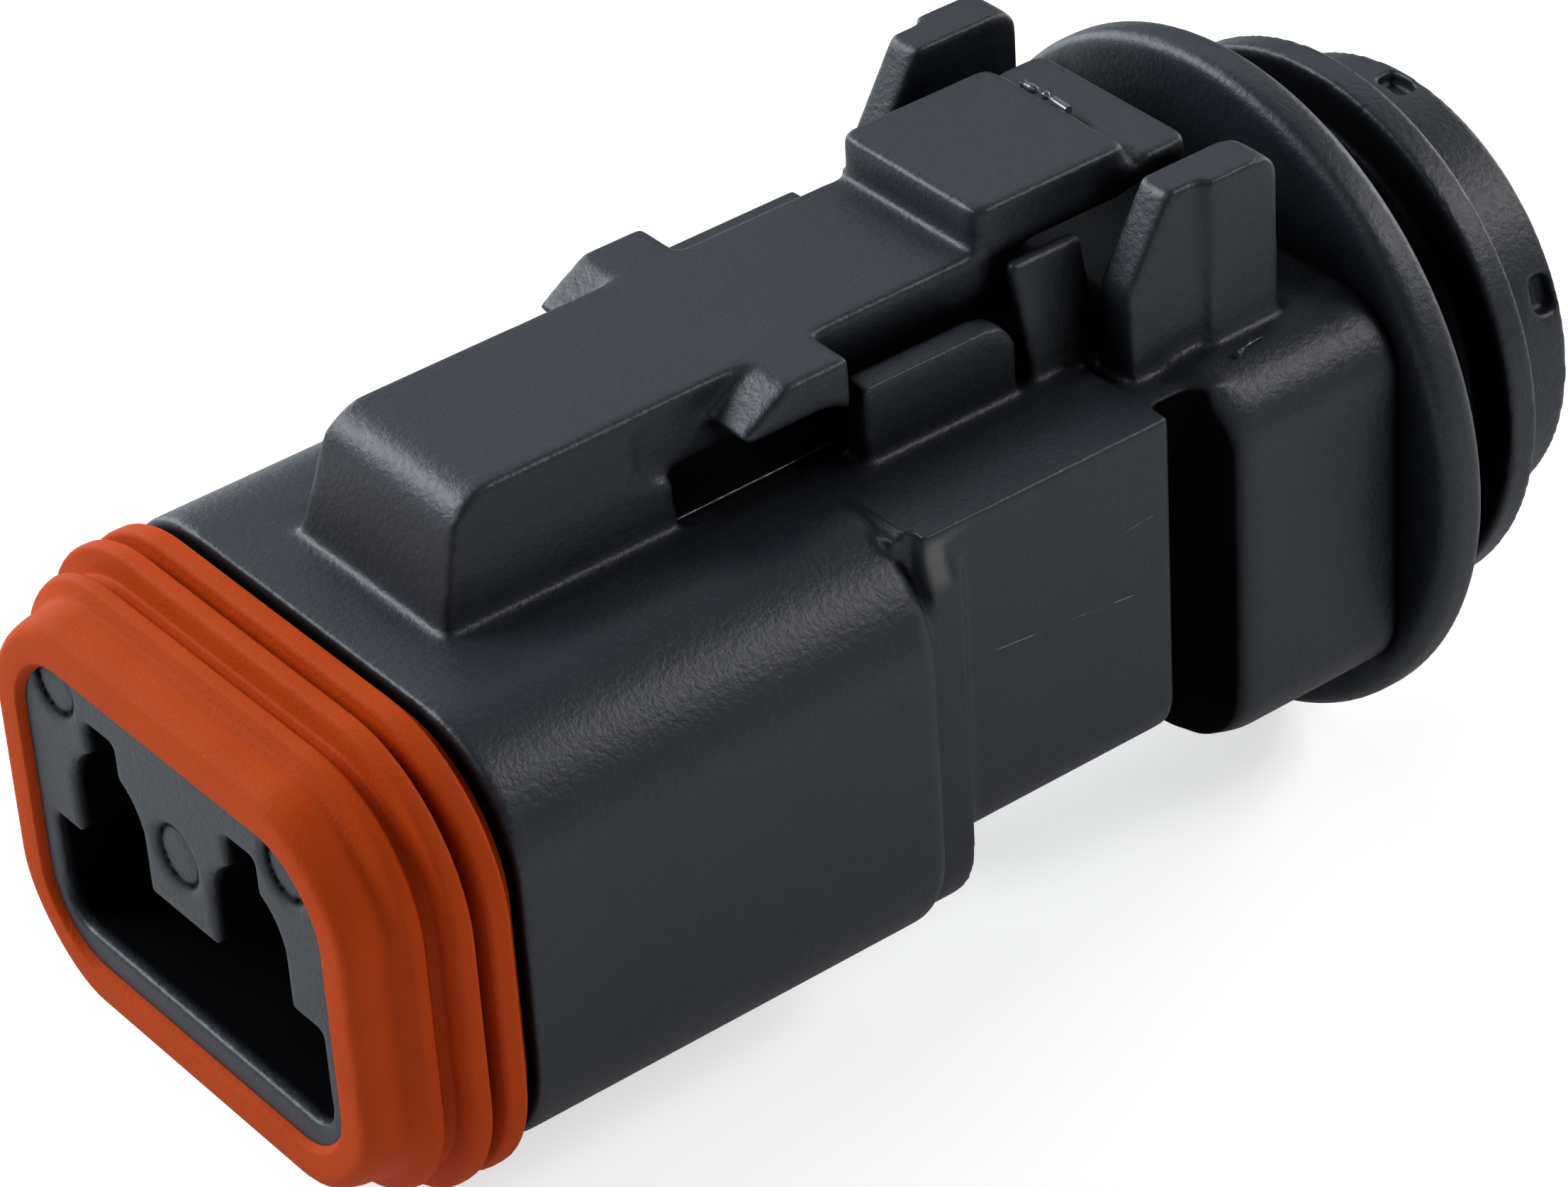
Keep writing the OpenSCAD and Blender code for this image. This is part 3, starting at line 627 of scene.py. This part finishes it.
# End cap. A turned-looking moulding of the same black nylon that snaps on behind: flange, neck,
# ring and spout round the wire outlet, with small recesses in the spout for the mould's pins.
CAP_GRAIN = 0.11
CAP_ROUNDS = 5
CAP_KEPT = 0.5
cap_solid = joined_copy("cap", [nodes["end_cap"]])
gridded(cap_solid, CAP_GRAIN)
softened(cap_solid, CAP_ROUNDS, CAP_KEPT)
cap = in_metres("rear_cap", cap_solid.data)
bpy.data.objects.remove(cap_solid)
add_painted_light(cap.data)
cap.data.materials.clear()
cap.data.materials.append(black_nylon)
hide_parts("end_cap")
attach(cap, "plug")

# Flash. Thin glossy threads and beads of nylon where the mould's parts met: along the pocket under
# the lever, on the housing's side, across the pad and at the foot of the right guard.
FLASH_STEP = 0.08          # length of a thread's steps
FLASH_SIDES = 8
THINNEST = 0.08            # share of its radius that a thread keeps everywhere
# name, body it rides, radius, how uneven it is, and its points: x, y behind the nose face, and z
# over the contacts
FLASH = (
    ("pocket_flash", "plug", 0.04, 0.4,
     ((2.8, 6.9, 5.62), (2.75, 12.4, 5.6), (2.7, 16.6, 5.6), (2.62, 18.9, 5.6))),
    ("side_flash_low", "plug", 0.014, 1.0,
     ((7.45, 19.0, 1.4), (7.45, 21.4, 1.16), (7.45, 23.7, 0.9))),
    ("side_flash_high", "plug", 0.013, 0.9,
     ((7.45, 22.7, 2.85), (7.45, 24.3, 2.98))),
    ("guard_flash", "plug", 0.09, 0.8,
     ((6.44, 28.02, 5.6), (6.28, 28.56, 5.6), (6.26, 29.01, 5.6))),
    ("pad_flash", "lever", 0.13, 1.0,
     ((-1.5, 27.97, 10.02), (-0.6, 28.0, 10.02), (0.3, 27.93, 10.02))),
)
thread = Shape("flash_thread", [("Line", "Object"), ("Radius", "Float"), ("Unevenness", "Float"),
                                ("Step", "Float")])
line = thread.node("GeometryNodeObjectInfo", None, {"Object": thread.given["Line"]}, "Geometry")
line = thread.node("GeometryNodeResampleCurve", {"mode": "LENGTH"},
                   {"Curve": line, "Length": thread.given["Step"]})
lumps = thread.node("ShaderNodeTexNoise", None, {"Scale": 2.6, "Detail": 1.0}, "Fac")
lumps = thread.ramp(lumps, 0.38, 0.62)
thinned = thread.math("MULTIPLY", thread.math("SUBTRACT", 1.0, lumps), thread.given["Unevenness"])
thickness = thread.math("MAXIMUM", thread.math("SUBTRACT", 1.0, thinned), THINNEST)
thickness = thread.math("MULTIPLY", thickness, thread.given["Radius"])
round_section = thread.node("GeometryNodeCurvePrimitiveCircle", {"mode": "RADIUS"},
                            {"Resolution": FLASH_SIDES, "Radius": 1.0}, "Curve")
tube = thread.node("GeometryNodeCurveToMesh", None, {"Curve": line, "Profile Curve": round_section,
                                                     "Scale": thickness, "Fill Caps": True})
gloss = Finish("glossy_flash")
glossy_flash = gloss.surface(gloss.principled(
    Base_Color=(0.06, 0.065, 0.075, 1), Roughness=0.16 + gloss.speckle(0.4) * 0.1,
    Specular_IOR_Level=0.9))
thread.finish(tube, glossy_flash)


def line_curve(name, points):
    """A curve object through the points, which are in millimetres."""
    data = bpy.data.curves.new(name, "CURVE")
    data.dimensions = "3D"
    spline = data.splines.new("POLY")
    spline.points.add(len(points) - 1)
    for point, (x, y, z) in zip(spline.points, points):
        point.co = (x, nose_y + y, contact_z + z, 1)
    obj = bpy.data.objects.new(name, data)
    scene.collection.objects.link(obj)
    return obj


for name, carrier, radius, unevenness, points in FLASH:
    path = line_curve(name + "_line", points)
    flash = in_metres(name, thread.mesh(name + "_mesh", {"Line": path, "Radius": radius,
                                                         "Unevenness": unevenness, "Step": FLASH_STEP}))
    bpy.data.objects.remove(path)
    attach(flash, carrier)


# Camera. It stands in front of the plug's right side, above it, with a long lens, and is turned a
# little about its own axis.
CAMERA_PLACE = (99.08, -73.465, 94.54)
CAMERA_TURN = 53.943
CAMERA_LIFT = 34.84
CAMERA_ROLL = -3.826
CAMERA_LENS = 135.39


def aim_camera():
    """Makes the camera, whose axes come from its turn, its lift and its roll in degrees."""
    turn, lift, roll = (math.radians(angle) for angle in (CAMERA_TURN, CAMERA_LIFT, CAMERA_ROLL))
    right = Vector((math.cos(turn), math.sin(turn), 0))
    back = Vector((math.sin(turn) * math.cos(lift), -math.cos(turn) * math.cos(lift), math.sin(lift)))
    up = back.cross(right)
    across = right * math.cos(roll) + up * math.sin(roll)
    upright = up * math.cos(roll) - right * math.sin(roll)
    place = Matrix((across, upright, back)).transposed().to_4x4()
    place.translation = Vector(CAMERA_PLACE) * MM
    data = bpy.data.cameras.new("camera")
    data.sensor_width = 36
    data.lens = CAMERA_LENS
    data.clip_start = 0.001
    data.clip_end = 10
    camera = bpy.data.objects.new("camera", data)
    camera.matrix_world = place
    scene.collection.objects.link(camera)
    scene.camera = camera


aim_camera()

# Floor. A wide white sheet, which looks white from the camera and keeps the plug's soft shadow.
SHEET_SIZE = 3
SHEET_GLOW = 0.62          # added for the camera alone
floor_mesh = bpy.data.meshes.new("floor")
bm = bmesh.new()
bmesh.ops.create_grid(bm, x_segments=1, y_segments=1, size=SHEET_SIZE)
bm.to_mesh(floor_mesh)
bm.free()
floor = bpy.data.objects.new("floor", floor_mesh)
scene.collection.objects.link(floor)
sheet = Finish("white_sheet")
seen_white = sheet.blend(sheet.node("ShaderNodeLightPath", output="Is Camera Ray"),
                         (0, 0, 0), (SHEET_GLOW,) * 3)
floor_mesh.materials.append(sheet.surface(sheet.principled(
    Base_Color=(0.85, 0.85, 0.85, 1), Roughness=0.9, Emission_Color=seen_white, Emission_Strength=1.0)))

# Studio. Soft lamps stand round the plug. The surround is white for the camera and through clear
# things, and lights the plug only a little.
SURROUND_LIGHT = 0.012
DAYLIGHT = (0.88, 0.95, 1.0)
surround = bpy.data.worlds.new("surround")
scene.world = surround
surround.use_nodes = True
tree = surround.node_tree
rays = tree.nodes.new("ShaderNodeLightPath")
shown = tree.nodes.new("ShaderNodeMath")
shown.operation = "MAXIMUM"
tree.links.new(rays.outputs["Is Camera Ray"], shown.inputs[0])
tree.links.new(rays.outputs["Is Transmission Ray"], shown.inputs[1])
level = tree.nodes.new("ShaderNodeMapRange")
level.inputs["To Min"].default_value = SURROUND_LIGHT
level.inputs["To Max"].default_value = 1.0
tree.links.new(shown.outputs[0], level.inputs["Value"])
tree.links.new(level.outputs["Result"], tree.nodes["Background"].inputs["Strength"])
tree.nodes["Background"].inputs["Color"].default_value = (1, 1, 1, 1)
scene.view_settings.view_transform = "Standard"


def lamp(name, place, size, power, tint=(1, 1, 1)):
    """A square soft lamp that faces the plug."""
    data = bpy.data.lights.new(name, "AREA")
    data.size = size
    data.energy = power
    data.color = tint
    obj = bpy.data.objects.new(name, data)
    obj.location = place
    obj.rotation_euler = (-Vector(place)).to_track_quat("-Z", "Y").to_euler()
    scene.collection.objects.link(obj)


lamp("front_left", (-0.34, -0.25, 0.31), 0.25, 2.4, DAYLIGHT)
lamp("left", (-0.45, 0, 0.12), 0.25, 0.9, DAYLIGHT)
lamp("back", (-0.05, 0.45, 0.12), 0.25, 0.9)
lamp("back_right", (0.25, 0.3, 0.33), 0.16, 0.95)
lamp("back_left", (-0.3, 0.25, 0.35), 0.35, 0.4, DAYLIGHT)
lamp("right", (0.45, 0.05, 0.15), 0.3, 0.08)
lamp("front", (0, -0.33, 0.36), 0.25, 0.28)
